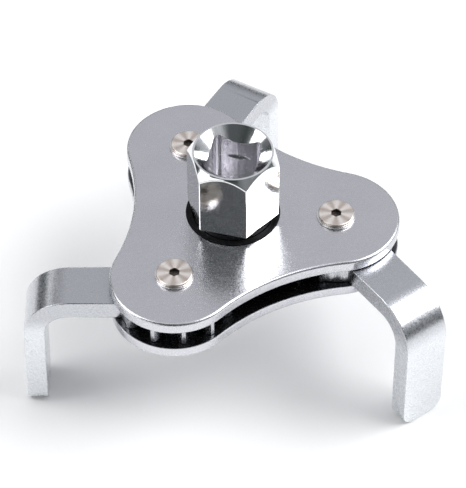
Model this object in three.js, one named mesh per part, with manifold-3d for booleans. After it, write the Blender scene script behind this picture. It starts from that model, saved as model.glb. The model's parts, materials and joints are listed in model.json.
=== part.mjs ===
/**
 * Two-way three-jaw oil filter wrench.
 *
 * A square drive turns a small gear between two trefoil plates. Three equal jaws carry the same
 * teeth round their pivots, so they swing together, one to one with the drive, until their legs
 * grip the filter. They close either way, so one tool both loosens and tightens.
 *
 * Millimetres, +Z up. The origin is the middle of the drive's lower end face, and the first
 * jaw's pivot lies on +X. The jaws are drawn part-way closed.
 */
import * as THREE from 'three';
import { mergeVertices } from 'three/addons/utils/BufferGeometryUtils.js';
import Module from 'manifold-3d';

const wasm = await Module();
wasm.setup();

// ---------------------------------------------------------------------------------------------
// Driving dimensions
// ---------------------------------------------------------------------------------------------

const JAW_COUNT = 3;
const PIVOT_RADIUS = 26.5; // drive axis to each jaw's pivot
const FIT = 0.1; // radial clearance of a running or sliding fit
const REST = 0.05; // gap left between faces that rest on each other

// Plates
const PLATE_THICKNESS = 3.3;
const PLATE_EDGE = 0.8; // rounding of each plate's outward edge, left by the press
const LOBE_RADIUS = 16.4;
const WAIST_RADIUS = 25.8; // drive axis to the outline, midway between two lobes
const LOWER_PLATE_Z = 4;
const PLATE_SPACING = 5.8;
const CAVITY_Z = LOWER_PLATE_Z + PLATE_THICKNESS; // floor of the space between the plates
const CAVITY_TOP_Z = CAVITY_Z + PLATE_SPACING;
const DECK_Z = CAVITY_TOP_Z + PLATE_THICKNESS; // top face of the upper plate

// Gearing: the drive's gear and the jaws' gears are alike
const TEETH = 12;
const PITCH_RADIUS = PIVOT_RADIUS / 2;
const MODULE = (2 * PITCH_RADIUS) / TEETH;
const PRESSURE_ANGLE = THREE.MathUtils.degToRad(20);
const TIP_RADIUS = PITCH_RADIUS + 0.85 * MODULE;
const ROOT_RADIUS = PITCH_RADIUS - 1.1 * MODULE;
const TOOTH_PLAY = 0.75; // taken off each tooth's thickness at the pitch circle
const GEAR_THICKNESS = 5.3;
const GEAR_Z = CAVITY_Z + (PLATE_SPACING - GEAR_THICKNESS) / 2;

// Jaws
const MESH_ANGLE = -53.5; // degrees, from the outward radial to the arm, teeth in mid-play
const SLACK_ANGLES = [3, -3, -2.5]; // where each jaw lies within the play of its teeth
const ARM_TOOTH_ANGLE = THREE.MathUtils.degToRad(9); // arm to the first tooth
const SHOULDER_RADIUS = TIP_RADIUS - 0.4; // of the web that fills the spaces beside the arm
const JAW_WIDTH = 12.4;
const JAW_REACH = 38.4; // pivot to the leg's outer face, just under the bend
const BEND_RADIUS = 11.5; // outside of the bend
const LEG_SPLAY = THREE.MathUtils.degToRad(1.5);
const LEG_LENGTH = 42.4; // deck to the feet
const FOOT_CORNER = 3.5;
const EYE_RADIUS = 5.1;

// Drive
const HEX_FLATS = 21;
const HEX_HEIGHT = 19.8;
const HEX_LIFT = 2.1; // deck to the underside of the hexagon
const HEX_ANGLE = -40.6; // degrees, direction of one flat
const HEX_CROWN_RADIUS = 10.2; // the chamfered corners start here
const HEX_CROWN_DROP = 2.8; // and reach this far down the corners
const SOCKET = 12.8; // half-inch square drive
const SOCKET_CORNER = 2;
const SOCKET_DEPTH = 16;
const SOCKET_MOUTH_RADIUS = 9.7;
const DETENT_DEPTH = 8.4; // rim to the middle of the detent groove
const DETENT_RADIUS = 7.1;
const DETENT_WIDTH = 1.4;
const JOURNAL_RADIUS = 10.4;
const SHANK_FLATS = 14;
const TAIL_RADIUS = 6.9;
const TAIL_CHAMFER = 0.5;

// Retention under the lower plate
const CLIP_Z = 1;
const CLIP_THICKNESS = 1.1;
const CLIP_GROOVE_RADIUS = 6.2;
const CLIP_RADIUS = 8.6;
const CLIP_OPENING = THREE.MathUtils.degToRad(50);
const WASHER_THICKNESS = 0.75;
const WASHER_RADIUS = 9.4;

// Bushes
const BUSH_WALL = 1.5;
const TOP_BUSH_STAND = 0.3; // how far it stands above the deck
const LOWER_FLANGE_WIDTH = 1.6;
const LOWER_FLANGE_THICKNESS = 0.8;
const SLEEVE_GAP = 0.15; // sleeve to the plate's hole

// Pivot screws and posts
const HEAD_RADIUS = 4.6;
const HEAD_HEIGHT = 0.85;
const SCREW_WASHER_RADIUS = 4.95;
const SCREW_WASHER_THICKNESS = 0.4;
const SCREW_RADIUS = 2.4;
const SCREW_LENGTH = 9;
const SCREW_EDGE = 0.25; // chamfer of the head and of the tip
const SCREW_HOLE_RADIUS = 2.7; // in the washer and the upper plate
const KEY_FLATS = 2.5;
const KEY_DEPTH = 1.2;
const POST_RADIUS = 5;
const RIVET_SHANK_RADIUS = 3.4;
const RIVET_HEAD_RADIUS = 5.2;
const RIVET_HEAD_HEIGHT = 1.4;
const RIVET_DOME = 0.6; // chamfer round the rivet head

const FINE = 48; // sides of the large round pieces
const MEDIUM = 30;
const SMALL = 20;

// ---------------------------------------------------------------------------------------------
// Finishes
// ---------------------------------------------------------------------------------------------

const finish = (color, roughness, metalness) => () =>
  new THREE.MeshStandardMaterial({ color, roughness, metalness });

const satinZinc = finish(0xaeaeb8, 0.42, 1);
const chrome = finish(0xd6d9de, 0.12, 1);
const brightPlate = finish(0xc2c6ce, 0.3, 1);
const warmNickel = finish(0xc9bfae, 0.34, 1);
const steel = finish(0x8f9196, 0.45, 1);
const springSteel = finish(0x4c4d50, 0.5, 1);
const blackNylon = finish(0x16171a, 0.55, 0);

// ---------------------------------------------------------------------------------------------
// Shape helpers
// ---------------------------------------------------------------------------------------------

const polar = (radius, angle) =>
  new THREE.Vector2(radius * Math.cos(angle), radius * Math.sin(angle));

/** Direction of pivot k; fractions lie between two pivots. */
const pivotTurn = (k) => (k * 2 * Math.PI) / JAW_COUNT;
const pivots = Array.from({ length: JAW_COUNT }, (_, k) => polar(PIVOT_RADIUS, pivotTurn(k)));

/** A closed geometry as a solid that can be joined and cut. */
function solid(geometry) {
  const bare = geometry.clone();
  bare.deleteAttribute('normal');
  bare.deleteAttribute('uv');
  const merged = mergeVertices(bare, 1e-4);
  return new wasm.Manifold(new wasm.Mesh({
    numProp: 3,
    vertProperties: new Float32Array(merged.attributes.position.array),
    triVerts: new Uint32Array(merged.index.array),
  }));
}

/** A solid back as a geometry with flat-shaded normals. */
function geometryOf(body) {
  const mesh = body.getMesh();
  const geometry = new THREE.BufferGeometry();
  geometry.setAttribute('position', new THREE.BufferAttribute(mesh.vertProperties, 3));
  geometry.setIndex(new THREE.BufferAttribute(mesh.triVerts, 1));
  const flat = geometry.toNonIndexed();
  flat.computeVertexNormals();
  return flat;
}

/** A flat shape raised from z0 to z1. */
function raised(shape, z0, z1, curveSegments = MEDIUM) {
  const options = { depth: z1 - z0, bevelEnabled: false, curveSegments };
  return solid(new THREE.ExtrudeGeometry(shape, options).translate(0, 0, z0));
}

/** A profile of [radius, z] points, from the lower axis end to the upper, turned round Z. */
function turned(profile, segments = MEDIUM) {
  const points = profile.map(([radius, z]) => new THREE.Vector2(radius, z));
  return solid(new THREE.LatheGeometry(points, segments).rotateX(Math.PI / 2));
}

/** A plain disc or rod between two heights. */
const rod = (radius, z0, z1, segments = MEDIUM) =>
  turned([[0, z0], [radius, z0], [radius, z1], [0, z1]], segments);

/** A regular or square bar: flats across, number of sides, direction of one flat in degrees. */
function bar(flats, sides, angle, z0, z1) {
  const corner = flats / 2 / Math.cos(Math.PI / sides);
  const first = THREE.MathUtils.degToRad(angle) + Math.PI / sides;
  const corners = Array.from({ length: sides }, (_, i) =>
    polar(corner, first + (i * 2 * Math.PI) / sides));
  return raised(new THREE.Shape(corners), z0, z1);
}

/** A flat ring between two heights. */
const ring = (outer, inner, z0, z1, segments = MEDIUM) =>
  rod(outer, z0, z1, segments).subtract(rod(inner, z0 - 1, z1 + 1, segments));

// ---------------------------------------------------------------------------------------------
// Plates
// ---------------------------------------------------------------------------------------------

/** Trefoil outline: three convex lobes joined by shallow arcs that are tangent to them. */
function trefoil() {
  const hollow = (LOBE_RADIUS ** 2 - PIVOT_RADIUS ** 2 - WAIST_RADIUS ** 2
    + PIVOT_RADIUS * WAIST_RADIUS) / (2 * WAIST_RADIUS - PIVOT_RADIUS - 2 * LOBE_RADIUS);
  const valley = polar(WAIST_RADIUS + hollow, pivotTurn(0.5));
  const half = Math.atan2(valley.y, valley.x - PIVOT_RADIUS); // half of each lobe's arc
  const shape = new THREE.Shape();
  for (let k = 0; k < JAW_COUNT; k += 1) {
    const lobe = polar(PIVOT_RADIUS, pivotTurn(k));
    const dip = polar(WAIST_RADIUS + hollow, pivotTurn(k + 0.5));
    const lobeEnd = pivotTurn(k) + half;
    const nextStart = pivotTurn(k + 1) - half;
    shape.absarc(lobe.x, lobe.y, LOBE_RADIUS, pivotTurn(k) - half, lobeEnd, false);
    shape.absarc(dip.x, dip.y, hollow, lobeEnd + Math.PI, nextStart + Math.PI, true);
  }
  return shape;
}

/** A plate with its lower face at z, rounded on the side that faces out. */
function plate(z, roundedTop, centreHole, screwHole) {
  const top = z + PLATE_THICKNESS;
  const reach = PIVOT_RADIUS + LOBE_RADIUS + 1;
  const blank = solid(new THREE.ExtrudeGeometry(trefoil(), {
    depth: PLATE_THICKNESS - PLATE_EDGE,
    bevelThickness: PLATE_EDGE,
    bevelSize: PLATE_EDGE,
    bevelOffset: -PLATE_EDGE,
    bevelSegments: 2,
    curveSegments: 9,
  }).translate(0, 0, roundedTop ? z : z + PLATE_EDGE));
  let body = blank.intersect(rod(reach, z, top));
  body = body.subtract(rod(centreHole, z - 1, top + 1, FINE));
  for (const { x, y } of pivots) {
    body = body.subtract(rod(screwHole, z - 1, top + 1, SMALL).translate([x, y, 0]));
  }
  return body;
}

// ---------------------------------------------------------------------------------------------
// Gears and jaws
// ---------------------------------------------------------------------------------------------

/** Gear outline with one tooth centred on the given angle, flanks as true involutes. */
function gearOutline(toothAngle) {
  const base = PITCH_RADIUS * Math.cos(PRESSURE_ANGLE);
  const involute = (radius) => {
    const pressure = Math.acos(Math.min(1, base / radius));
    return Math.tan(pressure) - pressure;
  };
  const pitchHalf = Math.PI / (2 * TEETH) - TOOTH_PLAY / (2 * PITCH_RADIUS);
  const halfAngle = (radius) => pitchHalf + involute(PITCH_RADIUS) - involute(radius);
  const flankSteps = 4;
  const flank = [ROOT_RADIUS];
  for (let i = 0; i <= flankSteps; i += 1) {
    flank.push(base + ((TIP_RADIUS - base) * i) / flankSteps);
  }
  const points = [];
  for (let tooth = 0; tooth < TEETH; tooth += 1) {
    const middle = toothAngle + (tooth * 2 * Math.PI) / TEETH;
    for (const radius of flank) points.push(polar(radius, middle - halfAngle(radius)));
    for (const radius of [...flank].reverse()) {
      points.push(polar(radius, middle + halfAngle(radius)));
    }
  }
  return new THREE.Shape(points);
}

/** The bent bar of a jaw, pivot on the Z axis, arm along +X, leg hanging down. */
function jawBar() {
  const top = GEAR_Z + GEAR_THICKNESS;
  const foot = DECK_Z - LEG_LENGTH;
  const along = new THREE.Vector2(Math.sin(LEG_SPLAY), -Math.cos(LEG_SPLAY)); // down the leg
  const across = new THREE.Vector2(Math.cos(LEG_SPLAY), Math.sin(LEG_SPLAY)); // out of it
  const bendZ = top - BEND_RADIUS;
  const bendX = JAW_REACH - BEND_RADIUS;
  const inner = BEND_RADIUS - GEAR_THICKNESS;
  const legStart = across.clone().multiplyScalar(BEND_RADIUS).add(new THREE.Vector2(bendX, bendZ));
  const run = (legStart.y - foot) / Math.cos(LEG_SPLAY);
  const outerFoot = legStart.clone().addScaledVector(along, run);
  const innerFoot = outerFoot.clone().addScaledVector(across, -GEAR_THICKNESS);

  const side = new THREE.Shape();
  side.moveTo(0, top);
  side.lineTo(bendX, top);
  side.absarc(bendX, bendZ, BEND_RADIUS, Math.PI / 2, LEG_SPLAY, true);
  side.lineTo(outerFoot.x, outerFoot.y);
  side.lineTo(innerFoot.x, innerFoot.y);
  side.absarc(bendX, bendZ, inner, LEG_SPLAY, Math.PI / 2, false);
  side.lineTo(0, GEAR_Z);
  side.closePath();
  const strip = solid(new THREE.ExtrudeGeometry(side, {
    depth: JAW_WIDTH, bevelEnabled: false, curveSegments: 6,
  }).rotateX(Math.PI / 2).translate(0, JAW_WIDTH / 2, 0));

  // The strip's own outline, seen along the arm, has two rounded corners at the foot.
  const half = JAW_WIDTH / 2;
  const low = innerFoot.y;
  const blank = new THREE.Shape();
  blank.moveTo(half, top + 1);
  blank.lineTo(-half, top + 1);
  for (const edge of [-1, 1]) {
    const start = Math.PI * (1.25 + 0.25 * edge);
    const centre = edge * (half - FOOT_CORNER);
    blank.absarc(centre, low + FOOT_CORNER, FOOT_CORNER, start, start + Math.PI / 2, false);
  }
  blank.closePath();
  const turnedToArm = new THREE.Matrix4().makeBasis(
    new THREE.Vector3(0, 1, 0), new THREE.Vector3(0, 0, 1), new THREE.Vector3(1, 0, 0));
  const outline = solid(new THREE.ExtrudeGeometry(blank, {
    depth: outerFoot.x + 2, bevelEnabled: false, curveSegments: 4,
  }).applyMatrix4(turnedToArm).translate(-1, 0, 0));
  return strip.intersect(outline);
}

/** One jaw about its own pivot, with its arm along +X. */
function jaw() {
  const hub = raised(gearOutline(ARM_TOOTH_ANGLE), GEAR_Z, GEAR_Z + GEAR_THICKNESS);
  const pitch = (2 * Math.PI) / TEETH;
  const web = new THREE.Shape();
  web.moveTo(0, 0);
  web.absarc(0, 0, SHOULDER_RADIUS, ARM_TOOTH_ANGLE - 2 * pitch, ARM_TOOTH_ANGLE + pitch, false);
  web.closePath();
  const shoulder = raised(web, GEAR_Z, GEAR_Z + GEAR_THICKNESS);
  const eye = rod(EYE_RADIUS, GEAR_Z - 1, GEAR_Z + GEAR_THICKNESS + 1);
  return hub.add(shoulder).add(jawBar()).subtract(eye);
}

/** The drive's gear, turned so that its teeth meet the spaces of the three jaws' gears. */
function sunGear() {
  const jawTooth = THREE.MathUtils.degToRad(MESH_ANGLE) + ARM_TOOTH_ANGLE;
  const sunSpace = Math.PI - jawTooth; // the same tooth, seen from the drive axis
  const outline = gearOutline(sunSpace + Math.PI / TEETH);
  const bore = bar(SHANK_FLATS + 2 * FIT, 6, HEX_ANGLE, GEAR_Z - 1, GEAR_Z + GEAR_THICKNESS + 1);
  return raised(outline, GEAR_Z, GEAR_Z + GEAR_THICKNESS).subtract(bore);
}

// ---------------------------------------------------------------------------------------------
// Drive
// ---------------------------------------------------------------------------------------------

/** The socket's hollow: a square bar with rounded corners, square to one pair of flats. */
function socketBar(z0, z1) {
  const offset = SOCKET / 2 - SOCKET_CORNER;
  const shape = new THREE.Shape();
  for (let quarter = 0; quarter < 4; quarter += 1) {
    const start = (quarter * Math.PI) / 2;
    const centre = polar(offset * Math.SQRT2, start + Math.PI / 4);
    shape.absarc(centre.x, centre.y, SOCKET_CORNER, start, start + Math.PI / 2, false);
  }
  return raised(shape, z0, z1, 2).rotate([0, 0, HEX_ANGLE - 60]);
}

function driveHex() {
  const hexZ = DECK_Z + HEX_LIFT;
  const rimZ = hexZ + HEX_HEIGHT;
  const gearTop = GEAR_Z + GEAR_THICKNESS;
  const shoulderZ = gearTop + REST;
  const tailZ = GEAR_Z - REST;
  const cornerRadius = HEX_FLATS / Math.sqrt(3);

  // The hexagon, its corners trimmed by a steep cone at the rim.
  const slope = HEX_CROWN_DROP / (cornerRadius - HEX_CROWN_RADIUS);
  const wide = cornerRadius + 1;
  const crown = turned([
    [0, hexZ - 1], [wide, hexZ - 1],
    [wide, rimZ - slope * (wide - HEX_CROWN_RADIUS)], [HEX_CROWN_RADIUS, rimZ], [0, rimZ],
  ], FINE);
  const head = bar(HEX_FLATS, 6, HEX_ANGLE, hexZ, rimZ).intersect(crown);

  // Journal in the upper plate, six-sided shank through the gear, tail in the lower plate.
  const journal = rod(JOURNAL_RADIUS, shoulderZ, hexZ, FINE);
  const shank = bar(SHANK_FLATS, 6, HEX_ANGLE, tailZ, shoulderZ);
  const clipTop = CLIP_Z + CLIP_THICKNESS;
  const tail = turned([
    [0, 0], [TAIL_RADIUS - TAIL_CHAMFER, 0], [TAIL_RADIUS, TAIL_CHAMFER], [TAIL_RADIUS, CLIP_Z],
    [CLIP_GROOVE_RADIUS, CLIP_Z], [CLIP_GROOVE_RADIUS, clipTop + REST],
    [TAIL_RADIUS, clipTop + REST], [TAIL_RADIUS, tailZ], [0, tailZ],
  ]);

  // Square socket, its conical mouth and the groove for the driver's detent ball.
  const socket = socketBar(rimZ - SOCKET_DEPTH, rimZ + 1);
  const reach = SOCKET_MOUTH_RADIUS + 1;
  const mouth = turned([[0, rimZ - SOCKET_MOUTH_RADIUS], [reach, rimZ + 1], [0, rimZ + 1]], FINE);
  const grooveZ = rimZ - DETENT_DEPTH;
  const groove = rod(DETENT_RADIUS, grooveZ - DETENT_WIDTH / 2, grooveZ + DETENT_WIDTH / 2);
  return head.add(journal).add(shank).add(tail).subtract(socket).subtract(mouth).subtract(groove);
}

function circlip() {
  const inner = CLIP_GROOVE_RADIUS + FIT;
  const top = CLIP_Z + CLIP_THICKNESS;
  const start = CLIP_OPENING / 2;
  const shape = new THREE.Shape();
  shape.absarc(0, 0, CLIP_RADIUS, start, 2 * Math.PI - start, false);
  shape.absarc(0, 0, inner, 2 * Math.PI - start, start, true);
  shape.closePath();
  return raised(shape, CLIP_Z + REST, top, MEDIUM);
}

const retainingWasher = () => {
  const z = CLIP_Z + CLIP_THICKNESS + REST;
  return ring(WASHER_RADIUS, TAIL_RADIUS + FIT, z, z + WASHER_THICKNESS);
};

// ---------------------------------------------------------------------------------------------
// Bushes, screws and posts
// ---------------------------------------------------------------------------------------------

/** Plain sleeve pressed into the upper plate. */
function topBush() {
  const bore = JOURNAL_RADIUS + FIT;
  return ring(bore + BUSH_WALL, bore, CAVITY_TOP_Z, DECK_Z + TOP_BUSH_STAND, FINE);
}

function bottomBush() {
  const bore = TAIL_RADIUS + FIT;
  const sleeveRadius = bore + BUSH_WALL;
  const flangeTop = LOWER_PLATE_Z - REST;
  const flangeZ = flangeTop - LOWER_FLANGE_THICKNESS;
  const flange = ring(sleeveRadius + LOWER_FLANGE_WIDTH, bore, flangeZ, flangeTop);
  return flange.add(ring(sleeveRadius, bore, flangeTop, CAVITY_Z));
}

function screwWasher() {
  const z = DECK_Z + REST;
  return ring(SCREW_WASHER_RADIUS, SCREW_HOLE_RADIUS, z, z + SCREW_WASHER_THICKNESS);
}

function pivotScrew() {
  const seat = DECK_Z + 2 * REST + SCREW_WASHER_THICKNESS;
  const top = seat + HEAD_HEIGHT;
  const tip = seat - SCREW_LENGTH;
  const body = turned([
    [0, tip], [SCREW_RADIUS - SCREW_EDGE, tip], [SCREW_RADIUS, tip + SCREW_EDGE],
    [SCREW_RADIUS, seat], [HEAD_RADIUS, seat], [HEAD_RADIUS, top - SCREW_EDGE],
    [HEAD_RADIUS - SCREW_EDGE, top], [0, top],
  ]);
  return body.subtract(bar(KEY_FLATS, 6, 0, top - KEY_DEPTH, top + 1));
}

/** Shouldered post: its foot is riveted in the lower plate and its top takes the screw. */
function pivotPost() {
  const shoulder = CAVITY_Z + REST;
  const top = CAVITY_TOP_Z - REST;
  const headZ = LOWER_PLATE_Z - REST;
  const body = turned([
    [0, headZ - RIVET_HEAD_HEIGHT], [RIVET_HEAD_RADIUS - RIVET_DOME, headZ - RIVET_HEAD_HEIGHT],
    [RIVET_HEAD_RADIUS, headZ - RIVET_HEAD_HEIGHT + RIVET_DOME], [RIVET_HEAD_RADIUS, headZ],
    [RIVET_SHANK_RADIUS, headZ], [RIVET_SHANK_RADIUS, shoulder], [POST_RADIUS, shoulder],
    [POST_RADIUS, top], [0, top],
  ]);
  const screwHole = SCREW_RADIUS + FIT;
  return body.subtract(rod(screwHole, DECK_Z - SCREW_LENGTH, top + 1, SMALL));
}

// ---------------------------------------------------------------------------------------------
// Assembly
// ---------------------------------------------------------------------------------------------

const group = new THREE.Group();

function add(name, body, material, x = 0, y = 0, turn = 0) {
  const mesh = new THREE.Mesh(geometryOf(body), material());
  mesh.name = name;
  mesh.position.set(x, y, 0);
  mesh.rotation.z = turn;
  group.add(mesh);
}

const upperHole = JOURNAL_RADIUS + FIT + BUSH_WALL + SLEEVE_GAP;
const lowerHole = TAIL_RADIUS + FIT + BUSH_WALL + SLEEVE_GAP;
add('top_plate', plate(CAVITY_TOP_Z, true, upperHole, SCREW_HOLE_RADIUS), satinZinc);
add('bottom_plate', plate(LOWER_PLATE_Z, false, lowerHole, RIVET_SHANK_RADIUS + FIT), satinZinc);
add('top_bush', topBush(), blackNylon);
add('bottom_bush', bottomBush(), blackNylon);
add('drive_hex', driveHex(), chrome);
add('sun_gear', sunGear(), steel);
add('retaining_washer', retainingWasher(), steel);
add('circlip', circlip(), springSteel);

pivots.forEach(({ x, y }, k) => {
  const number = k + 1;
  const armTurn = pivotTurn(k) + THREE.MathUtils.degToRad(MESH_ANGLE + SLACK_ANGLES[k]);
  add(`pivot_post_${number}`, pivotPost(), steel, x, y);
  add(`screw_washer_${number}`, screwWasher(), steel, x, y);
  add(`pivot_screw_${number}`, pivotScrew(), warmNickel, x, y, pivotTurn(k));
  add(`jaw_${number}`, jaw(), brightPlate, x, y, armTurn);
});

export default group;
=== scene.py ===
# %% [markdown]
# # A gear-driven oil filter wrench
# Three bent legs carry gears between two trefoil plates. A square driver turns the hexagon in the
# middle, and the legs swing together until they grip the filter. This lesson loads the engineering
# model as a fixed frame and puts a finely finished piece in the place of each of its parts.

# %% Load the frame
import json
import math

import bmesh
import bpy
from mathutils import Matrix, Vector


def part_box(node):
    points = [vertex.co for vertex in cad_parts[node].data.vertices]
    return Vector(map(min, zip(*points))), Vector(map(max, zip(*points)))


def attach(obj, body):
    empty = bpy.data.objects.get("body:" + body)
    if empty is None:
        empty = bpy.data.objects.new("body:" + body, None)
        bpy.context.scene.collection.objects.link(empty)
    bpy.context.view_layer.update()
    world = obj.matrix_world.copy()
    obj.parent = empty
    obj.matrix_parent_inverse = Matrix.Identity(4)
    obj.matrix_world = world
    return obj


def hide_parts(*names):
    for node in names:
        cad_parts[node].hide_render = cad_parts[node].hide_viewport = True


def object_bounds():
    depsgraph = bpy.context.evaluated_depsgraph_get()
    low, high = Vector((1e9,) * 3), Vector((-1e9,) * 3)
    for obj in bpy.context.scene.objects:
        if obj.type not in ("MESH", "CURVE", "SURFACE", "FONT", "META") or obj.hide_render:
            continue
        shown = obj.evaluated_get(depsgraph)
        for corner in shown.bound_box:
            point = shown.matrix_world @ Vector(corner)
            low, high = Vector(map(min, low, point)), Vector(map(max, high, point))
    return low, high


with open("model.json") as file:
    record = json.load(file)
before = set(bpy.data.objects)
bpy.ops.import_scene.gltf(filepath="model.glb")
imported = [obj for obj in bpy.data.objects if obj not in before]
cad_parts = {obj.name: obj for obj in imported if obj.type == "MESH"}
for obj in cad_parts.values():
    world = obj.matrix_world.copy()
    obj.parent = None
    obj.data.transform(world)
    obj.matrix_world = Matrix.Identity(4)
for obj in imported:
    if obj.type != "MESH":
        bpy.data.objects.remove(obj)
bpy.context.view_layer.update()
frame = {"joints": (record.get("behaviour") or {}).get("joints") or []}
MM = 0.001

# %% [markdown]
# ## Measures taken from the frame
# Every place comes from the box of an engineering part, so the new pieces fit without guessing.
# The frame's joints say where the legs pivot.

# %% Heights and pivots
def heights(node):
    """Lowest and highest z of an engineering part."""
    low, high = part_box(node)
    return low.z, high.z


lower_z, lower_top = heights("bottom_plate")
upper_z, deck_z = heights("top_plate")
gear_z, gear_top = heights("sun_gear")
rim_z = heights("drive_hex")[1]
PIVOTS = [Vector(joint["pos_m"]) for joint in frame["joints"] if joint["name"] != "drive_turn"]
PIVOT_RADIUS = PIVOTS[0].length
LOBE_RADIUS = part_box("top_plate")[1].x - PIVOT_RADIUS
WAIST_RADIUS = 25.8 * MM  # from the middle to the outline, halfway between two lobes
SMALL_GAP = 0.05 * MM  # between faces that rest on each other
print(f"deck at {deck_z / MM:.1f} mm, lobes of {LOBE_RADIUS / MM:.1f} mm on {PIVOT_RADIUS / MM:.1f} mm")

# %% [markdown]
# ## Helpers for modelling
# An operator acts on all that is selected, so each piece starts with nothing selected. Faces,
# edges and points are then picked by a rule on their place, as they would be picked by eye.

# %% Selecting
def deselect():
    if bpy.context.object and bpy.context.object.mode != "OBJECT":
        bpy.ops.object.mode_set(mode="OBJECT")
    bpy.ops.object.select_all(action="DESELECT")


def activate(piece):
    deselect()
    piece.select_set(True)
    bpy.context.view_layer.objects.active = piece


def pick(piece, kind, rule):
    """In edit mode, select only the verts, edges or faces whose rule holds."""
    bpy.ops.mesh.select_mode(type=kind.upper().rstrip("S"))
    bpy.ops.mesh.select_all(action="DESELECT")
    mesh = bmesh.from_edit_mesh(piece.data)
    chosen = [item for item in getattr(mesh, kind) if rule(item)]
    for item in chosen:
        item.select_set(True)
    mesh.select_flush_mode()
    bmesh.update_edit_mesh(piece.data)
    return len(chosen)


def middle(item):
    """Middle of an edge or a face."""
    return sum((corner.co for corner in item.verts), Vector()) / len(item.verts)


def spin(steps, angle, center, axis=(0, 0, 1)):
    """Spin what is selected by a right-handed angle: the operator itself turns the other way."""
    bpy.ops.mesh.spin(steps=steps, angle=-angle, center=center, axis=axis)


# %% Finishing
def outward(piece):
    """Merge doubles and turn every face outwards."""
    activate(piece)
    bpy.ops.object.mode_set(mode="EDIT")
    bpy.ops.mesh.select_all(action="SELECT")
    bpy.ops.mesh.remove_doubles(threshold=1e-6)
    bpy.ops.mesh.normals_make_consistent(inside=False)
    bpy.ops.object.mode_set(mode="OBJECT")


def apply_modifier(piece, kind, **settings):
    activate(piece)
    modifier = piece.modifiers.new(kind.lower(), kind)
    for key, value in settings.items():
        setattr(modifier, key, value)
    bpy.ops.object.modifier_apply(modifier=modifier.name)


def combine(piece, tool, operation):
    """Union, difference or intersection with a tool, which is used up."""
    apply_modifier(piece, "BOOLEAN", operation=operation, object=tool, solver="EXACT")
    bpy.data.objects.remove(tool)


def soften(piece, width, segments=3, angle=28):
    """Round the sharp edges, then shade the flats flat and the curves smooth."""
    apply_modifier(piece, "BEVEL", width=width, segments=segments, limit_method="ANGLE",
                   angle_limit=math.radians(angle), use_clamp_overlap=True)
    activate(piece)
    bpy.ops.object.shade_smooth_by_angle(angle=math.radians(35))
    apply_modifier(piece, "WEIGHTED_NORMAL", keep_sharp=True, weight=80)


def settle(piece, turn=0.0, place=(0, 0, 0)):
    """Turn about the vertical, move, and put the place into the mesh."""
    activate(piece)
    piece.rotation_euler = (0, 0, turn)
    piece.location = place
    bpy.ops.object.transform_apply(location=True, rotation=True, scale=True)


def copy_of(piece, name):
    twin = piece.copy()
    twin.data = piece.data.copy()
    twin.name = twin.data.name = name
    bpy.context.collection.objects.link(twin)
    return twin


# %% Turned pieces
def turned(name, profile, sides=96, closed=False):
    """A ring of points, extruded and resized step by step along a profile of (radius, z)."""
    deselect()
    radius, z = profile[0]
    bpy.ops.mesh.primitive_circle_add(vertices=sides, radius=radius, location=(0, 0, 0))
    piece = bpy.context.object
    piece.name = piece.data.name = name
    bpy.ops.object.mode_set(mode="EDIT")
    bpy.ops.mesh.select_all(action="SELECT")
    bpy.ops.transform.translate(value=(0, 0, z))
    if not closed:
        bpy.ops.mesh.edge_face_add()
    steps = profile[1:] + profile[:1] if closed else profile[1:]
    for next_radius, next_z in steps:
        bpy.ops.mesh.extrude_region_move(TRANSFORM_OT_translate={"value": (0, 0, next_z - z)})
        size = next_radius / radius
        bpy.ops.transform.resize(value=(size, size, 1), center_override=(0, 0, next_z))
        radius, z = next_radius, next_z
    bpy.ops.object.mode_set(mode="OBJECT")
    outward(piece)
    return piece


def prism(name, flats, sides, angle, z0, z1):
    """A regular bar: one flat faces the given direction."""
    deselect()
    radius = flats / 2 / math.cos(math.pi / sides)
    bpy.ops.mesh.primitive_cylinder_add(vertices=sides, radius=radius, depth=z1 - z0,
                                        location=(0, 0, (z0 + z1) / 2))
    piece = bpy.context.object
    piece.name = piece.data.name = name
    first = math.pi / 2 - math.pi / sides  # a flat beside the cylinder's first corner
    settle(piece, angle - first, piece.location)
    return piece


# %% Pieces of a ring
def ring_part(name, inner, outer, z0, z1, start, angle, steps):
    """An upright face pulled round the axis: part of a flat ring."""
    deselect()
    bpy.ops.mesh.primitive_plane_add(size=1, rotation=(math.pi / 2, 0, 0))
    piece = bpy.context.object
    piece.name = piece.data.name = name
    bpy.ops.object.transform_apply(location=True, rotation=True, scale=True)
    bpy.ops.object.mode_set(mode="EDIT")
    bpy.ops.mesh.select_all(action="SELECT")
    bpy.ops.transform.resize(value=(outer - inner, 1, z1 - z0), center_override=(0, 0, 0))
    bpy.ops.transform.translate(value=((outer + inner) / 2, 0, (z0 + z1) / 2))
    spin(steps, angle, (0, 0, 0))
    bpy.ops.object.mode_set(mode="OBJECT")
    settle(piece, start)
    outward(piece)
    return piece


# %% [markdown]
# ## Shader helper
# Shader maths reads best as plain expressions. A small class wraps a socket, and its operators add
# the Math nodes.

# %% Shader maths
class Value:
    """A socket of a material's nodes that Python's operators work on."""

    def __init__(self, nodes, socket):
        self.nodes = nodes
        self.socket = socket

    def _math(self, operation, first, second):
        return self.nodes.node("Math", {"operation": operation}, {0: first, 1: second})

    def __add__(self, other):
        return self._math("ADD", self, other)

    def __mul__(self, other):
        return self._math("MULTIPLY", self, other)

    def __sub__(self, other):
        return self._math("SUBTRACT", self, other)

    def __rsub__(self, other):
        return self._math("SUBTRACT", other, self)

    __radd__ = __add__
    __rmul__ = __mul__


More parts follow.
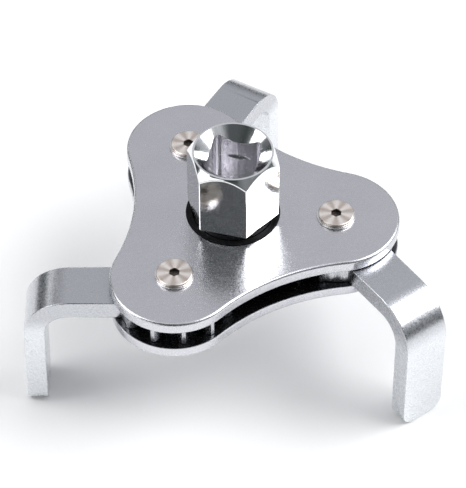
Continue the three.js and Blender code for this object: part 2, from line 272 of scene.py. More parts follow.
class Nodes:
    """The node tree of a new material, or of the room's light."""

    def __init__(self, name, room=False):
        self.material = (bpy.data.worlds if room else bpy.data.materials).new(name)
        self.material.use_nodes = True
        self.tree = self.material.node_tree
        self.shader = self.tree.nodes["Background" if room else "Principled BSDF"]
        self.place = self.node("TexCoord", {}, {}, output="Generated" if room else "Object")

    def node(self, kind, settings, inputs, output=0):
        made = self.tree.nodes.new("ShaderNode" + kind)
        for key, value in settings.items():
            if key == "stops":
                ramp = made.color_ramp
                while len(ramp.elements) < len(value):
                    ramp.elements.new(1)
                for element, (position, color) in zip(ramp.elements, value):
                    element.position = position
                    element.color = (*color, 1)
            else:
                setattr(made, key, value)
        for key, value in inputs.items():
            self.feed(made.inputs[key], value)
        return Value(self, made.outputs[output])

    def feed(self, socket, value):
        if isinstance(value, Value):
            self.tree.links.new(value.socket, socket)
        elif isinstance(value, tuple) and socket.type == "RGBA":
            socket.default_value = (*value, 1)
        else:
            socket.default_value = value

    def set(self, **sockets):
        for key, value in sockets.items():
            self.feed(self.shader.inputs[key.replace("_", " ")], value)

    def axis(self, letter):
        """X, Y or Z of the place on the piece, or of the direction into the room."""
        return self.node("SeparateXYZ", {}, {0: self.place}, output=letter)

    def off_axis(self, center=(0, 0)):
        """Distance from an upright axis."""
        shifted = self.node("VectorMath", {"operation": "ADD"},
                            {0: self.place, 1: (-center[0], -center[1], 0)})
        level = self.node("VectorMath", {"operation": "MULTIPLY"}, {0: shifted, 1: (1, 1, 0)})
        return self.node("VectorMath", {"operation": "LENGTH"}, {0: level}, output="Value")

    def noise(self, scale, detail=3.0, stretch=(1, 1, 1), rough=0.55):
        spot = self.node("Mapping", {}, {"Vector": self.place, "Scale": stretch})
        return self.node("TexNoise", {}, {"Vector": spot, "Scale": scale, "Detail": detail,
                                          "Roughness": rough})

    def between(self, value, low, high, to_low=0.0, to_high=1.0):
        return self.node("MapRange", {}, {"Value": value, "From Min": low, "From Max": high,
                                          "To Min": to_low, "To Max": to_high})

    def smooth(self, value, low, high):
        return self.node("MapRange", {"interpolation_type": "SMOOTHSTEP"},
                         {"Value": value, "From Min": low, "From Max": high})

    def blend(self, factor, first, second):
        return self.node("Mix", {"data_type": "RGBA"}, {0: factor, 6: first, 7: second}, output=2)

    def bump(self, height, strength, distance):
        self.set(Normal=self.node("Bump", {}, {"Strength": strength, "Distance": distance,
                                               "Height": height}))


# %% [markdown]
# ## Plated metals
# Bright plating is never even: the base metal's grain shows through as small specks, handling
# leaves faint clouds in the gloss, and each pressing keeps shallow dents. The plating is one metal
# with three finishes: satin on the plates, bright on the legs and mirror-like on the hexagon. The
# faces between the plates are painted dark as painted shade, and a mask on the height or on the
# distance from an axis says where.

# %% Satin zinc on the plates
SHADE_FADE = 0.25 * MM


def satin_zinc(floor_z, roof_z):
    zinc = Nodes("satin_zinc")
    height = zinc.axis("Z")
    painted_shade = (zinc.smooth(height, floor_z - SHADE_FADE, floor_z)
              * (1 - zinc.smooth(height, roof_z, roof_z + SHADE_FADE)))
    grain = zinc.noise(2400, 2)
    pebble = zinc.noise(800, 2)
    cloud = zinc.noise(70, 4)
    scratch = zinc.between(zinc.noise(160, 2, (1, 9, 1)), 0.55, 0.85)
    tone = zinc.blend(zinc.between(grain, 0.3, 0.7), (0.645, 0.645, 0.675), (0.68, 0.68, 0.71))
    tone = zinc.blend(zinc.between(cloud, 0.3, 0.7, 0.0, 0.4), tone, (0.55, 0.55, 0.6))
    # painted shade: the faces between the plates are painted near-black, where little light reaches
    tone = zinc.blend(0.9 * painted_shade, tone, (0.07, 0.075, 0.08))
    zinc.set(Base_Color=tone, Metallic=1.0)
    zinc.set(Roughness=zinc.between(grain, 0.25, 0.75, 0.19, 0.27) + 0.06 * cloud + 0.05 * scratch)
    zinc.bump(pebble + 0.15 * grain, 0.5, 0.00005)
    return zinc.material


# %% Bright plating on the legs
SHADE_INSIDE, SHADE_OUTSIDE = 13.0 * MM, 14.4 * MM  # from a pivot: all painted shade, and none


def bright_plate(name, gear_floor, pivot):
    plate = Nodes(name)
    painted_shade = 1 - plate.smooth(plate.off_axis(pivot), SHADE_INSIDE, SHADE_OUTSIDE)
    grain = plate.noise(1500, 3)
    ripple = plate.noise(420, 4)
    speck = plate.between(plate.noise(900, 4, rough=0.7), 0.6, 0.72)
    height = plate.axis("Z")
    painted_height_shade = plate.smooth(height, 1 * MM, gear_floor)  # painted light and shade: the legs are painted lighter, the arms up by the plates darker
    tone = plate.blend(painted_height_shade, (0.79, 0.81, 0.835), (0.54, 0.55, 0.58))
    tone = plate.blend(speck * 0.4, tone, (0.38, 0.39, 0.42))
    # painted shade: the gear's roots and flanks between the plates are painted dark, the tips stay
    # bright
    tone = plate.blend(0.85 * painted_shade, tone, (0.09, 0.1, 0.1))
    plate.set(Base_Color=tone, Metallic=1.0)
    plate.set(Roughness=plate.between(grain, 0.3, 0.7, 0.22, 0.32) + 0.08 * speck)
    plate.bump(0.6 * ripple + 0.5 * grain, 0.5, 0.0001)
    return plate.material


# %% [markdown]
# Chrome barely reaches the inside of the socket, so the broached walls below its cone stay a plain
# grey steel, streaked upright by the broach's teeth.

# %% Mirror chrome on the drive
MOUTH_RADIUS = 9.7 * MM  # of the socket's cone, at the rim
SOCKET_REACH = 8.4 * MM  # the broached square stays within this radius


def mirror_chrome(rim):
    chrome = Nodes("mirror_chrome")
    mouth = rim - MOUTH_RADIUS + chrome.off_axis()  # height of the socket's cone at this radius
    broached = chrome.smooth(mouth - chrome.axis("Z"), 0.1 * MM, 0.3 * MM)
    broached = broached * (1 - chrome.smooth(chrome.off_axis(), SOCKET_REACH, SOCKET_REACH + 0.4 * MM))
    haze = chrome.noise(140, 4)
    peel = chrome.noise(700, 3)
    pit = chrome.between(chrome.noise(1900, 2), 0.66, 0.76)
    tone = chrome.blend(0.4 * pit, (0.84, 0.85, 0.86), (0.5, 0.5, 0.5))
    marks = chrome.between(chrome.noise(900, 3, (1, 1, 0.04)), 0.35, 0.65)
    steel = chrome.blend(marks, (0.74, 0.73, 0.76), (0.5, 0.49, 0.52))
    tone = chrome.blend(0.8 * broached, tone, steel)
    chrome.set(Base_Color=tone, Metallic=1.0)
    chrome.set(Roughness=chrome.between(haze, 0.3, 0.75, 0.08, 0.16) + 0.1 * pit + 0.1 * broached)
    chrome.bump(peel + 0.8 * haze + 0.2 * pit + 0.6 * marks * broached, 0.3, 0.00006)
    return chrome.material


# %% [markdown]
# The screw heads are faced on a lathe and plated in a warm nickel. The tool's marks run in rings
# round each screw. The sunburst of a turned face's gloss is painted into the colour as light and
# dark rays, a painted reflection, and the key socket is painted near-black as painted shade.

# %% Turned nickel, dark steels and nylon
PAINTED_RAY_COUNT = 7
KEY_REACH = 1.5 * MM  # a screw's key socket stays within this radius


def turned_nickel(name, pivot, face_z):
    nickel = Nodes(name)
    spot = nickel.node("Mapping", {}, {"Vector": nickel.place, "Location": (-pivot.x, -pivot.y, 0)})
    rings = nickel.node("TexWave", {"wave_type": "RINGS", "rings_direction": "Z"},
                        {"Vector": spot, "Scale": 900, "Distortion": 1.5, "Detail": 2})
    fan = nickel.node("TexGradient", {"gradient_type": "RADIAL"}, {"Vector": spot}, output="Fac")
    painted_rays = nickel.node("Math", {"operation": "SINE"}, {0: fan * (2 * math.pi * PAINTED_RAY_COUNT)})
    grain = nickel.noise(1700, 3)
    # painted reflection: the sunburst of the turned face is painted as light and dark rays
    tone = nickel.blend(nickel.between(painted_rays + grain, -0.5, 1.5), (0.62, 0.54, 0.49), (0.98, 0.92, 0.87))
    # painted shade: the key socket below the face is painted near-black
    painted_key_shade = ((1 - nickel.smooth(nickel.axis("Z"), face_z - 0.5 * MM, face_z - 0.1 * MM))
            * (1 - nickel.smooth(nickel.off_axis(pivot), KEY_REACH, KEY_REACH + 0.2 * MM)))
    tone = nickel.blend(0.9 * painted_key_shade, tone, (0.035, 0.03, 0.028))
    nickel.set(Base_Color=tone, Metallic=1.0)
    nickel.set(Roughness=nickel.between(rings, 0, 1, 0.24, 0.38) + 0.08 * grain)
    nickel.bump(rings + 0.5 * grain, 0.3, 0.00002)
    return nickel.material


def plain_steel(name, light, dark, roughness):
    steel = Nodes(name)
    grain = steel.noise(1400, 4)
    stain = steel.noise(120, 3)
    tone = steel.blend(steel.between(stain, 0.35, 0.7), light, dark)
    steel.set(Base_Color=tone, Metallic=1.0)
    steel.set(Roughness=steel.between(grain, 0.3, 0.7, roughness - 0.06, roughness + 0.1))
    steel.bump(grain, 0.35, 0.00004)
    return steel.material


def black_nylon():
    nylon = Nodes("black_nylon")
    grain = nylon.noise(2200, 2)
    # near-black nylon; on the upper sleeve it also serves as painted shade in the ring under the
    # hexagon
    tone = nylon.blend(nylon.between(grain, 0.35, 0.65), (0.003, 0.003, 0.0035), (0.009, 0.009, 0.01))
    nylon.set(Base_Color=tone, Metallic=0.0, Roughness=nylon.between(grain, 0.3, 0.7, 0.34, 0.5))
    nylon.set(IOR=1.2)
    nylon.bump(grain, 0.3, 0.00003)
    return nylon.material


SATIN = satin_zinc(lower_top, upper_z)
CHROME = mirror_chrome(rim_z)
LEG_PLATING = [bright_plate(f"bright_plate_{k + 1}", gear_z, pivot)
               for k, pivot in enumerate(PIVOTS)]
WASHER_PLATING = plain_steel("washer_plating", (0.86, 0.86, 0.87), (0.74, 0.74, 0.76), 0.22)
GEAR_STEEL = plain_steel("gear_steel", (0.34, 0.35, 0.37), (0.18, 0.18, 0.19), 0.38)
SPRING_STEEL = plain_steel("spring_steel", (0.08, 0.08, 0.085), (0.03, 0.03, 0.034), 0.42)
NYLON_AND_SHADE = black_nylon()
print("finishes:", ", ".join(material.name for material in bpy.data.materials))

# %% [markdown]
# ## Handing a piece over
# A finished piece gets its finish, rides on the body that carries it and takes the place of its
# engineering part.

# %% Hand over
def hand_over(piece, material, body, slot, *nodes):
    piece.data.materials.clear()
    piece.data.materials.append(material)
    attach(piece, body)
    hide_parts(*nodes)
    sides = zip(*(vertex.co for vertex in piece.data.vertices))
    size = " x ".join(f"{(max(side) - min(side)) / MM:.1f}" for side in sides)
    print(f"{piece.name}: {size} mm, {len(piece.data.polygons)} faces")


# %% [markdown]
# ## The two plates
# Each plate is a trefoil stamped from 3.3 mm sheet: three round lobes over the pivots, joined by
# shallow arcs that flow into them. The press rounds the outward edge. The outline could be drawn
# point by point, but an upright edge spun round six centres in turn follows the true arcs.

# %% Trefoil walls by spinning an edge
HOLLOW_RADIUS = ((LOBE_RADIUS ** 2 - PIVOT_RADIUS ** 2 - WAIST_RADIUS ** 2
                  + PIVOT_RADIUS * WAIST_RADIUS)
                 / (2 * WAIST_RADIUS - PIVOT_RADIUS - 2 * LOBE_RADIUS))
LOBE_STEPS = 36
HOLLOW_STEPS = 28


def on_circle(radius, angle, z=0.0):
    return Vector((radius * math.cos(angle), radius * math.sin(angle), z))


def trefoil(name, z0, z1):
    valley = on_circle(WAIST_RADIUS + HOLLOW_RADIUS, math.pi / 3)
    half = math.atan2(valley.y, valley.x - PIVOT_RADIUS)
    swing = half - math.pi / 3  # how far each hollow arc turns to either side
    deselect()
    bpy.ops.mesh.primitive_plane_add(size=1)
    piece = bpy.context.object
    piece.name = piece.data.name = name
    bpy.ops.object.mode_set(mode="EDIT")
    bpy.ops.mesh.select_mode(type="VERT")
    bpy.ops.mesh.select_all(action="SELECT")
    bpy.ops.mesh.merge(type="CENTER")
    start = PIVOTS[0] + on_circle(LOBE_RADIUS, -half, z0)
    bpy.ops.transform.translate(value=start)
    bpy.ops.mesh.extrude_region_move(TRANSFORM_OT_translate={"value": (0, 0, z1 - z0)})
    pick(piece, "edges", lambda edge: True)
    for k in range(len(PIVOTS)):
        turn = k * 2 * math.pi / 3
        spin(LOBE_STEPS, 2 * half, PIVOTS[k])
        spin(HOLLOW_STEPS, -2 * swing, on_circle(WAIST_RADIUS + HOLLOW_RADIUS, turn + math.pi / 3))
    bpy.ops.mesh.select_all(action="SELECT")
    bpy.ops.mesh.remove_doubles(threshold=2e-5)
    for level in (z0, z1):
        pick(piece, "verts", lambda vert: abs(vert.co.z - level) < 1e-6)
        bpy.ops.mesh.edge_face_add()
    bpy.ops.object.mode_set(mode="OBJECT")
    outward(piece)
    return piece


# %% Both plates
OUTER_EDGE = 0.8 * MM  # rounding left by the press
HOLE_EDGE = 0.4 * MM  # rounding of the holes and of the outline on the inner side
SCREW_HOLE = 2.7 * MM
RIVET_HOLE = 3.5 * MM
LOWER_HOLE = 8.65 * MM
SLEEVE_GAP = 0.15 * MM  # round a sleeve in its plate


def finish_plate(name, z0, z1, outward_z, centre_hole, pivot_hole):
    plate = trefoil(name, z0, z1)
    activate(plate)
    bpy.ops.object.mode_set(mode="EDIT")
    pick(plate, "edges", lambda edge: all(abs(v.co.z - outward_z) < 1e-6 for v in edge.verts))
    bpy.ops.mesh.bevel(offset=OUTER_EDGE, segments=6, profile=0.5)
    pick(plate, "edges", lambda edge: len(edge.link_faces) == 2
         and edge.calc_face_angle(0) > math.radians(70))
    bpy.ops.mesh.bevel(offset=HOLE_EDGE, segments=2, profile=0.5)
    bpy.ops.object.mode_set(mode="OBJECT")
    reach = 1 * MM  # how far a drill passes both faces
    combine(plate, turned("hole", [(centre_hole, z0 - reach), (centre_hole, z1 + reach)], 128),
            "DIFFERENCE")
    for pivot in PIVOTS:
        drill = turned("hole", [(pivot_hole, z0 - reach), (pivot_hole, z1 + reach)], 48)
        settle(drill, 0, pivot)
        combine(plate, drill, "DIFFERENCE")
    soften(plate, HOLE_EDGE, 3, 60)
    return plate


upper_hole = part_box("top_bush")[1].x + SLEEVE_GAP
upper_plate = finish_plate("upper_plate", upper_z, deck_z, deck_z, upper_hole, SCREW_HOLE)
lower_plate = finish_plate("lower_plate", lower_z, lower_top, lower_z, LOWER_HOLE, RIVET_HOLE)
hand_over(upper_plate, SATIN, "plates", "plate_metal", "top_plate")
hand_over(lower_plate, SATIN, "plates", "plate_metal", "bottom_plate")

# %% [markdown]
# ## The drive
# The hexagon takes a spanner and its square socket a half-inch driver. Its corners are turned down
# to a round rim, and a round journal leads down through the upper plate to a six-sided shank, which
# carries the gear, and a round tail. It could be one lathe profile with flats cut on it, but a
# six-sided bar cut by a turned cone gives the same curved edges with less work.

# %% Drive sizes
HEX_FLATS = 21 * MM
HEX_ANGLE = math.radians(-40.6)
hex_z = deck_z + 2.1 * MM
CROWN_RADIUS = 10.2 * MM
CROWN_DROP = 2.8 * MM
JOURNAL_RADIUS = 10.4 * MM
SHANK_FLATS = 14 * MM
TAIL_RADIUS = 6.9 * MM
SOCKET = 12.8 * MM
SOCKET_CORNER = 2 * MM
SOCKET_DEPTH = 16 * MM
GROOVE_DEPTH = 8.4 * MM
GROOVE_RADIUS = 7.1 * MM
GROOVE_HALF = 0.7 * MM
CLIP_GROOVE = 6.2 * MM

# %% Hexagon with a turned crown
drive = prism("drive_hexagon", HEX_FLATS, 6, HEX_ANGLE, hex_z, rim_z)
slope = CROWN_DROP / (HEX_FLATS / math.sqrt(3) - CROWN_RADIUS)
wide = 14 * MM  # past the corners of the hexagon
cone = turned("crown_cone", [(wide, hex_z - MM), (wide, rim_z - slope * (wide - CROWN_RADIUS)),
                             (CROWN_RADIUS, rim_z)], 192)
combine(drive, cone, "INTERSECT")
journal = turned("journal", [(JOURNAL_RADIUS, gear_top + SMALL_GAP), (JOURNAL_RADIUS, hex_z + MM)], 128)
shank = prism("shank", SHANK_FLATS, 6, HEX_ANGLE, gear_z - SMALL_GAP, gear_top + MM)
ring_low, ring_high = heights("circlip")
clip_low, clip_high = ring_low - SMALL_GAP, ring_high + SMALL_GAP
tail = turned("tail", [(TAIL_RADIUS, 0), (TAIL_RADIUS, clip_low), (CLIP_GROOVE, clip_low),
                       (CLIP_GROOVE, clip_high), (TAIL_RADIUS, clip_high), (TAIL_RADIUS, gear_z)], 96)
for part in (journal, shank, tail):
    combine(drive, part, "UNION")
print("drive blank:", len(drive.data.polygons), "faces")

# %% [markdown]
# The socket is broached: a square bar with rounded corners is pushed down the middle, a cone opens
# its mouth, and a shallow turned ring inside gives the driver's ball a place to click into.

# %% Broach the socket
SPANNER_WEAR = 0.3 * MM
BORE_EDGE = 0.16 * MM
broach = prism("broach", SOCKET, 4, HEX_ANGLE - math.pi / 3, rim_z - SOCKET_DEPTH, rim_z + MM)
activate(broach)
bpy.ops.object.mode_set(mode="EDIT")
pick(broach, "edges", lambda edge: abs(edge.verts[0].co.z - edge.verts[1].co.z) > MM)
bpy.ops.mesh.bevel(offset=SOCKET_CORNER, segments=6, profile=0.5)
bpy.ops.object.mode_set(mode="OBJECT")
combine(drive, broach, "DIFFERENCE")
groove_z = rim_z - GROOVE_DEPTH
groove = turned("groove", [(GROOVE_RADIUS - 0.5 * MM, groove_z - GROOVE_HALF),
                           (GROOVE_RADIUS, groove_z - 0.35 * GROOVE_HALF),
                           (GROOVE_RADIUS, groove_z + 0.35 * GROOVE_HALF),
                           (GROOVE_RADIUS - 0.5 * MM, groove_z + GROOVE_HALF)], 96)
combine(drive, groove, "DIFFERENCE")
mouth_low = 1 * MM
mouth = turned("mouth", [(mouth_low, rim_z - MOUTH_RADIUS + mouth_low),
                         (MOUTH_RADIUS + MM, rim_z + MM)], 192)
combine(drive, mouth, "DIFFERENCE")
activate(drive)
bpy.ops.object.mode_set(mode="EDIT")
worn = pick(drive, "edges", lambda edge: len(edge.link_faces) == 2
            and edge.calc_face_angle(0) > math.radians(20)
            and middle(edge).xy.length > HEX_FLATS / 2 - 0.25 * MM
            and middle(edge).z > hex_z - 0.1 * MM)
bpy.ops.mesh.bevel(offset=SPANNER_WEAR, segments=4, profile=0.5, clamp_overlap=True)
bpy.ops.object.mode_set(mode="OBJECT")
print("spanner-worn edges:", worn)
soften(drive, BORE_EDGE, 3, 40)
hand_over(drive, CHROME, "drive", "drive_metal", "drive_hex")

# %% [markdown]
# ## Gears
# The drive's gear and the three leg gears have the same twelve teeth. A tooth is drawn once as a
# small block that narrows towards its tip, then repeated round the hub.

# %% One gear blank
TEETH = 12
PITCH_RADIUS = PIVOT_RADIUS / 2
MODULE = 2 * PITCH_RADIUS / TEETH
ROOT_RADIUS = PITCH_RADIUS - 1.1 * MODULE
TIP_RADIUS = PITCH_RADIUS + 0.85 * MODULE
PRESSURE = math.radians(20)
TOOTH_PLAY = 0.75 * MM
FLANK_STEPS = 5
ROOT_OVERLAP = 0.6 * MM  # how deep a tooth's foot sits in the hub
GEAR_EDGE = 0.12 * MM
BORE_PLAY = 0.2 * MM  # across the flats of the gear's bore


def tooth_half(radius):
    """Half a tooth's width at a radius, along an involute flank."""
    base = PITCH_RADIUS * math.cos(PRESSURE)

    def involute(r):
        pressure = math.acos(min(1.0, base / r))
        return math.tan(pressure) - pressure

    angle = (math.pi / (2 * TEETH) - TOOTH_PLAY / (2 * PITCH_RADIUS)
             + involute(PITCH_RADIUS) - involute(radius))
    return radius * math.sin(angle)


def gear(name, tooth_angle):
    deselect()
    depth = gear_top - gear_z
    bpy.ops.mesh.primitive_plane_add(size=1, location=(0, 0, 0), rotation=(0, math.pi / 2, 0))
    teeth = bpy.context.object
    bpy.ops.object.transform_apply(location=True, rotation=True, scale=True)
    start = ROOT_RADIUS - ROOT_OVERLAP
    bpy.ops.object.mode_set(mode="EDIT")
    bpy.ops.mesh.select_all(action="SELECT")
    width = tooth_half(ROOT_RADIUS) * 2.1
    bpy.ops.transform.resize(value=(1, width, depth), center_override=(0, 0, 0))
    bpy.ops.transform.translate(value=(start, 0, (gear_z + gear_top) / 2))
    place = start
    for step in range(FLANK_STEPS + 1):
        radius = ROOT_RADIUS + (TIP_RADIUS - ROOT_RADIUS) * step / FLANK_STEPS
        bpy.ops.mesh.extrude_region_move(TRANSFORM_OT_translate={"value": (radius - place, 0, 0)})
        narrower = 2 * tooth_half(radius) / width
        bpy.ops.transform.resize(value=(1, narrower, 1), center_override=(radius, 0, 0))
        width *= narrower
        place = radius
    bpy.ops.mesh.select_all(action="SELECT")
    bpy.ops.mesh.normals_make_consistent(inside=False)
    bpy.ops.mesh.spin(steps=TEETH, dupli=True, angle=2 * math.pi, center=(0, 0, 0), axis=(0, 0, 1))
    bpy.ops.object.mode_set(mode="OBJECT")
    outward(teeth)
    hub = turned(name, [(ROOT_RADIUS, gear_z), (ROOT_RADIUS, gear_top)], 96)
    combine(hub, teeth, "UNION")
    settle(hub, tooth_angle)
    return hub


# %% The drive's gear
MESH_ANGLE = math.radians(-53.5)
ARM_TOOTH_ANGLE = math.radians(9)
sun_tooth = math.pi - (MESH_ANGLE + ARM_TOOTH_ANGLE) + math.pi / TEETH
centre_gear = gear("centre_gear", sun_tooth)
combine(centre_gear, prism("bore", SHANK_FLATS + BORE_PLAY, 6, HEX_ANGLE, gear_z - MM, gear_top + MM),
        "DIFFERENCE")
soften(centre_gear, GEAR_EDGE, 2, 40)
hand_over(centre_gear, GEAR_STEEL, "drive", "plain_steel", "sun_gear")

# %% [markdown]
# ## The gripping legs
# Each leg is a flat bar, bent down at a right angle round a former and cut with rounded corners at
# the foot. Its inner end is a gear that turns on a post. The bar is made as a smith would: a square
# end is pulled out along the arm, spun round the bend and pulled down to the foot.

# %% Bend one bar
JAW_WIDTH = 12.4 * MM
JAW_REACH = 38.4 * MM
BEND_RADIUS = 11.5 * MM
SPLAY = math.radians(1.5)
FOOT_CORNER = 3.5 * MM
EYE_RADIUS = 5.1 * MM
BAR_EDGE = 0.6 * MM
LEG_EDGE = 0.15 * MM
FOOT_DROP = 42.4 * MM  # from the deck down to the feet
bend_x, bend_z = JAW_REACH - BEND_RADIUS, gear_top - BEND_RADIUS
FOOT_Z = deck_z - FOOT_DROP

deselect()
bpy.ops.mesh.primitive_plane_add(size=1, rotation=(0, math.pi / 2, 0))
leg = bpy.context.object
leg.name = leg.data.name = "gripping_leg_1"
bpy.ops.object.transform_apply(location=True, rotation=True, scale=True)
bpy.ops.object.mode_set(mode="EDIT")
bpy.ops.mesh.select_all(action="SELECT")
bpy.ops.transform.resize(value=(1, JAW_WIDTH, gear_top - gear_z), center_override=(0, 0, 0))
bpy.ops.transform.translate(value=(0, 0, (gear_z + gear_top) / 2))
bpy.ops.mesh.extrude_region_move(TRANSFORM_OT_translate={"value": (bend_x, 0, 0)})
spin(20, math.pi / 2 - SPLAY, (bend_x, 0, bend_z), (0, 1, 0))
leg_start = bend_z + BEND_RADIUS * math.sin(SPLAY)
run = (leg_start - FOOT_Z) / math.cos(SPLAY)
down = Vector((math.sin(SPLAY), 0, -math.cos(SPLAY))) * run
bpy.ops.mesh.extrude_region_move(TRANSFORM_OT_translate={"value": down})
foot_edges = pick(leg, "edges", lambda edge: middle(edge).z < FOOT_Z + 3 * MM
                  and abs(edge.verts[0].co.y - edge.verts[1].co.y) < 1e-6
                  and abs(edge.verts[0].co.z - edge.verts[1].co.z) < 3 * MM)
bpy.ops.mesh.bevel(offset=FOOT_CORNER, segments=8, profile=0.5)
bpy.ops.object.mode_set(mode="OBJECT")
outward(leg)
print(f"bent bar: {foot_edges} foot corners, {len(leg.data.polygons)} faces")

# %% [markdown]
# Beside the arm the spaces between the teeth are never used, so the pressing fills them with a solid
# shoulder out to nearly the tips. Three pitches of a flat ring make it.

# %% Add the gear, the shoulder and the eye
SHOULDER_RADIUS = TIP_RADIUS - 0.4 * MM
PITCH_ANGLE = 2 * math.pi / TEETH
combine(leg, gear("leg_gear", ARM_TOOTH_ANGLE), "UNION")
shoulder = ring_part("shoulder", EYE_RADIUS + MM, SHOULDER_RADIUS, gear_z, gear_top,
                     ARM_TOOTH_ANGLE - 2 * PITCH_ANGLE, 3 * PITCH_ANGLE, 36)
combine(leg, shoulder, "UNION")
combine(leg, turned("eye", [(EYE_RADIUS, gear_z - MM), (EYE_RADIUS, gear_top + MM)], 64), "DIFFERENCE")
activate(leg)
bpy.ops.object.mode_set(mode="EDIT")
bpy.ops.mesh.select_all(action="SELECT")
bpy.ops.mesh.dissolve_limited(angle_limit=math.radians(0.5))  # each flat side becomes one face
long_edges = pick(leg, "edges", lambda edge: len(edge.link_faces) == 2
                  and edge.calc_face_angle(0) > math.radians(60)
                  and middle(edge).xy.length > TIP_RADIUS + 0.5 * MM)
bpy.ops.mesh.bevel(offset=BAR_EDGE, segments=4, profile=0.5, clamp_overlap=True)
bpy.ops.object.mode_set(mode="OBJECT")
print("rounded edges of the bar:", long_edges)
soften(leg, LEG_EDGE, 2, 40)

# %% Copy it to the three pivots
SLACK_ANGLES = (3, -3, -2.5)  # where each leg rests within the play of its teeth, in degrees
legs = [leg, copy_of(leg, "gripping_leg_2"), copy_of(leg, "gripping_leg_3")]
for k, (piece, body) in enumerate(zip(legs, ("first_jaw", "second_jaw", "third_jaw"))):
    turn = k * 2 * math.pi / 3 + MESH_ANGLE + math.radians(SLACK_ANGLES[k])
    settle(piece, turn, PIVOTS[k])
    hand_over(piece, LEG_PLATING[k], body, "jaw_metal", f"jaw_{k + 1}")

# %% [markdown]
# ## Screws, washers and posts
# A low, wide socket screw and a thin washer close each pivot. Below, the post that the leg turns on
# ends in a domed rivet head. All of them are turned, so each is one profile.

# %% Screws and washers
washer_low, washer_top = heights("screw_washer_1")
screw_low, screw_top = heights("pivot_screw_1")
HEAD_RADIUS = 4.6 * MM
SCREW_RADIUS = 2.4 * MM
WASHER_RADIUS = 4.95 * MM
KEY_FLATS = 2.5 * MM
KEY_DEPTH = 1.2 * MM
SCREW_EDGE = 0.1 * MM
WASHER_EDGE = 0.12 * MM
seat = washer_top + SMALL_GAP
screw = turned("cap_screw_pattern", [
    (SCREW_RADIUS, screw_low), (SCREW_RADIUS, seat), (HEAD_RADIUS, seat),
    (HEAD_RADIUS, screw_top - 0.3 * MM), (HEAD_RADIUS - 0.1 * MM, screw_top - 0.1 * MM),
    (HEAD_RADIUS - 0.34 * MM, screw_top)], 64)
combine(screw, prism("key", KEY_FLATS, 6, 0, screw_top - KEY_DEPTH, screw_top + MM), "DIFFERENCE")
soften(screw, SCREW_EDGE, 2, 30)
washer = turned("cap_washer_pattern", [
    (SCREW_HOLE, washer_low), (WASHER_RADIUS, washer_low),
    (WASHER_RADIUS, washer_top), (SCREW_HOLE, washer_top)], 64, closed=True)
soften(washer, WASHER_EDGE, 3, 40)

# %% Posts with a rivet head
post_low, post_top = heights("pivot_post_1")
RIVET_HEAD = 5.2 * MM
RIVET_SHANK = 3.4 * MM
POST_RADIUS = 5 * MM
TAPPED_RADIUS = 2.5 * MM
TAPPED_DEPTH = 9 * MM  # below the deck
POST_EDGE = 0.12 * MM
head_top = lower_z - SMALL_GAP
shoulder_z = lower_top + SMALL_GAP
dome = [(3.2 * MM, post_low), (4.6 * MM, post_low + 0.35 * MM), (RIVET_HEAD, post_low + 0.9 * MM)]
post = turned("leg_post_pattern", dome + [
    (RIVET_HEAD, head_top), (RIVET_SHANK, head_top), (RIVET_SHANK, shoulder_z),
    (POST_RADIUS, shoulder_z), (POST_RADIUS, post_top)], 64)
tapped_hole = turned("tapped_hole", [(TAPPED_RADIUS, deck_z - TAPPED_DEPTH),
                                     (TAPPED_RADIUS, post_top + MM)], 32)
combine(post, tapped_hole, "DIFFERENCE")
soften(post, POST_EDGE, 2, 30)

# %% Repeat them at the pivots
for k, pivot in enumerate(PIVOTS):
    nickel = turned_nickel(f"turned_nickel_{k + 1}", pivot, screw_top)
    repeats = ((screw, "cap_screw", nickel, "screw_metal", "pivot_screw"),
               (washer, "cap_washer", WASHER_PLATING, "screw_metal", "screw_washer"),
               (post, "leg_post", GEAR_STEEL, "plain_steel", "pivot_post"))
    for first, name, material, slot, node in repeats:
        piece = copy_of(first, f"{name}_{k + 1}")
        settle(piece, k * 2 * math.pi / 3, pivot)
        hand_over(piece, material, "plates", slot, f"{node}_{k + 1}")
for first in (screw, washer, post):
    bpy.data.objects.remove(first)

# %% [markdown]
# ## Bushes, washer and retaining ring
# Two nylon sleeves keep the drive from wearing the plates. A spring ring in the tail's groove, with
# a washer above it, holds the drive in. A ring has no poles: its profile closes on itself.

# %% Sleeves and washer
RING_EDGE = 0.15 * MM
UPPER_BORE = 10.5 * MM
LOWER_BORE = 7 * MM
SLEEVE_RADIUS = 8.5 * MM
FLANGE_RADIUS = 10.1 * MM


def ring_of(name, node, inner):
    """A flat ring as wide and as high as an engineering part."""
    low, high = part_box(node)
    outer = high.x
    piece = turned(name, [(inner, low.z), (outer, low.z), (outer, high.z), (inner, high.z)],
                   128, closed=True)
    soften(piece, RING_EDGE, 3, 40)
    return piece


# the near-black upper sleeve is partly painted shade: it fills the dark ring under the hexagon
upper_sleeve = ring_of("upper_sleeve", "top_bush", UPPER_BORE)
hand_over(upper_sleeve, NYLON_AND_SHADE, "plates", "black_bush", "top_bush")
flange_low, flange_top = heights("bottom_bush")[0], lower_z - SMALL_GAP
lower_sleeve = turned("lower_sleeve", [
    (LOWER_BORE, flange_low), (FLANGE_RADIUS, flange_low), (FLANGE_RADIUS, flange_top),
    (SLEEVE_RADIUS, flange_top), (SLEEVE_RADIUS, lower_top), (LOWER_BORE, lower_top)], 96, closed=True)
soften(lower_sleeve, RING_EDGE, 3, 40)
hand_over(lower_sleeve, NYLON_AND_SHADE, "plates", "black_bush", "bottom_bush")
tail_washer = ring_of("tail_washer", "retaining_washer", LOWER_BORE)
hand_over(tail_washer, GEAR_STEEL, "drive", "plain_steel", "retaining_washer")

# %% [markdown]
# The retaining ring is an open ring of hardened spring steel that snaps into the tail's groove. It
# could be a full ring with a wedge cut out. An upright face pulled most of the way round needs no cut.

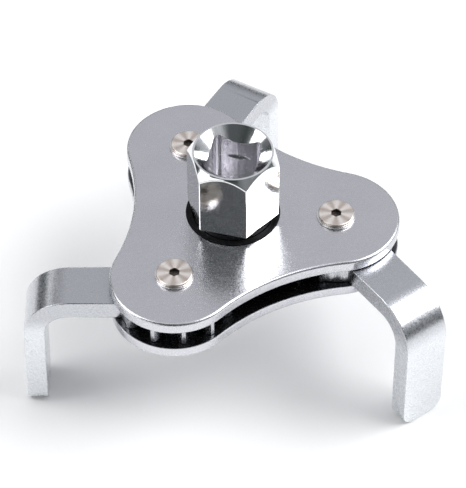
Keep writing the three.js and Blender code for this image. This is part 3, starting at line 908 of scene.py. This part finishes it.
# %% Retaining ring
CLIP_INNER = 6.3 * MM
CLIP_OUTER = 8.6 * MM
CLIP_OPENING = math.radians(50)
spring_ring = ring_part("spring_ring", CLIP_INNER, CLIP_OUTER, ring_low, ring_high,
                        CLIP_OPENING / 2, 2 * math.pi - CLIP_OPENING, 72)
soften(spring_ring, RING_EDGE, 3, 40)
hand_over(spring_ring, SPRING_STEEL, "drive", "spring_steel", "circlip")

# %% [markdown]
# ## Floor and light
# Bright metal shows its surroundings, so the light is part of the finish. The floor is pale. The
# room is a soft grey that darkens to the left and in front, where chrome needs something dark to
# reflect. Six soft boxes stand round it: a strong one on the right, two overhead with a gap between
# them so that the flat deck isn't washed out from above, and three weaker ones on the left, behind
# and low in front.

# %% Floor
def pale_floor():
    sheet = Nodes("pale_floor")
    mottle = sheet.noise(8, 2)
    tone = sheet.blend(sheet.between(mottle, 0.3, 0.7), (0.95, 0.95, 0.95), (0.97, 0.97, 0.97))
    sheet.set(Base_Color=tone, Roughness=0.75)
    return sheet.material


deselect()
FLOOR_SIZE = 6.0
bpy.ops.mesh.primitive_plane_add(size=FLOOR_SIZE, location=(0, 0, 0))
floor = bpy.context.object
floor.name = "floor"
floor.location.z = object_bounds()[0].z
floor.data.materials.append(pale_floor())

# %% Room light
AWAY = Vector((-0.15, -0.7, 0.7))  # towards the dark side of the room, behind the camera
room = Nodes("studio", room=True)
bpy.context.scene.world = room.material
side_x, side_y, height = (room.axis(letter) for letter in "XYZ")
sky = room.node("ValToRGB", {"stops": (
    (0.0, (0.07, 0.08, 0.075)), (0.1, (0.09, 0.1, 0.1)), (0.24, (0.4, 0.41, 0.43)),
    (0.5, (0.61, 0.62, 0.65)), (0.74, (0.61, 0.615, 0.645)), (1.0, (0.75, 0.76, 0.78)))}, {0: height})
facing = room.node("VectorMath", {"operation": "DOT_PRODUCT"},
                   {0: room.place, 1: AWAY.normalized()}, output="Value")
front = room.smooth(0 - side_y, 0.05, 0.45) * (1 - room.smooth(height, 0.5, 0.75))
left = room.smooth(0 - side_x, 0.1, 0.7)
shade = ((1 - 0.86 * room.smooth(facing, 0.74, 0.95)) * (1 - 0.55 * front) * (1 - 0.68 * left))
room.set(Color=room.blend(shade, (0.004, 0.012, 0.011), sky), Strength=1.0)


def soft_box(name, place, size, radiance, target=(0, 0, 0.01)):
    """A flat lamp whose own brightness is given, as chrome shows it."""
    lamp = bpy.data.lights.new(name, "AREA")
    lamp.shape = "RECTANGLE"
    lamp.size, lamp.size_y = size
    lamp.energy = radiance * math.pi * size[0] * size[1]
    holder = bpy.data.objects.new(name, lamp)
    holder.location = place
    holder.rotation_euler = (Vector(target) - Vector(place)).to_track_quat("-Z", "Y").to_euler()
    bpy.context.collection.objects.link(holder)


soft_box("right_box", (0.72, 0.12, 0.72), (0.8, 0.7), 3.3)
soft_box("top_right_box", (0.82, 0.05, 1.0), (0.8, 0.9), 2.0)
soft_box("top_left_box", (-0.78, 0.05, 1.0), (0.8, 0.9), 1.8)
soft_box("left_box", (-0.9, -0.12, 0.75), (0.6, 0.6), 2.4)
soft_box("back_box", (-0.75, 0.85, 0.55), (0.5, 0.2), 1.3)
soft_box("low_box", (-0.8, -0.64, 0.28), (1.3, 0.3), 1.6)
bpy.context.scene.view_settings.view_transform = "Standard"

# %% [markdown]
# ## Camera
# The camera stands in front and above, a good half metre away, with a long lens, as a catalogue
# picture is taken. It is aimed so that the wrench fills the frame.

# %% Camera
AZIMUTH = math.radians(3.58)
ELEVATION = math.radians(47.4)
DISTANCE = 0.56
LENS = 158
AIM = Vector((0.0, 0.0, 0.004))
camera_data = bpy.data.cameras.new("catalogue_camera")
camera = bpy.data.objects.new("catalogue_camera", camera_data)
bpy.context.collection.objects.link(camera)
toward = Vector((math.sin(AZIMUTH) * math.cos(ELEVATION), -math.cos(AZIMUTH) * math.cos(ELEVATION),
                 math.sin(ELEVATION)))
camera.location = AIM + toward * DISTANCE
camera.rotation_euler = (-toward).to_track_quat("-Z", "Y").to_euler()
camera_data.lens = LENS
camera_data.clip_end = 20
bpy.context.scene.camera = camera
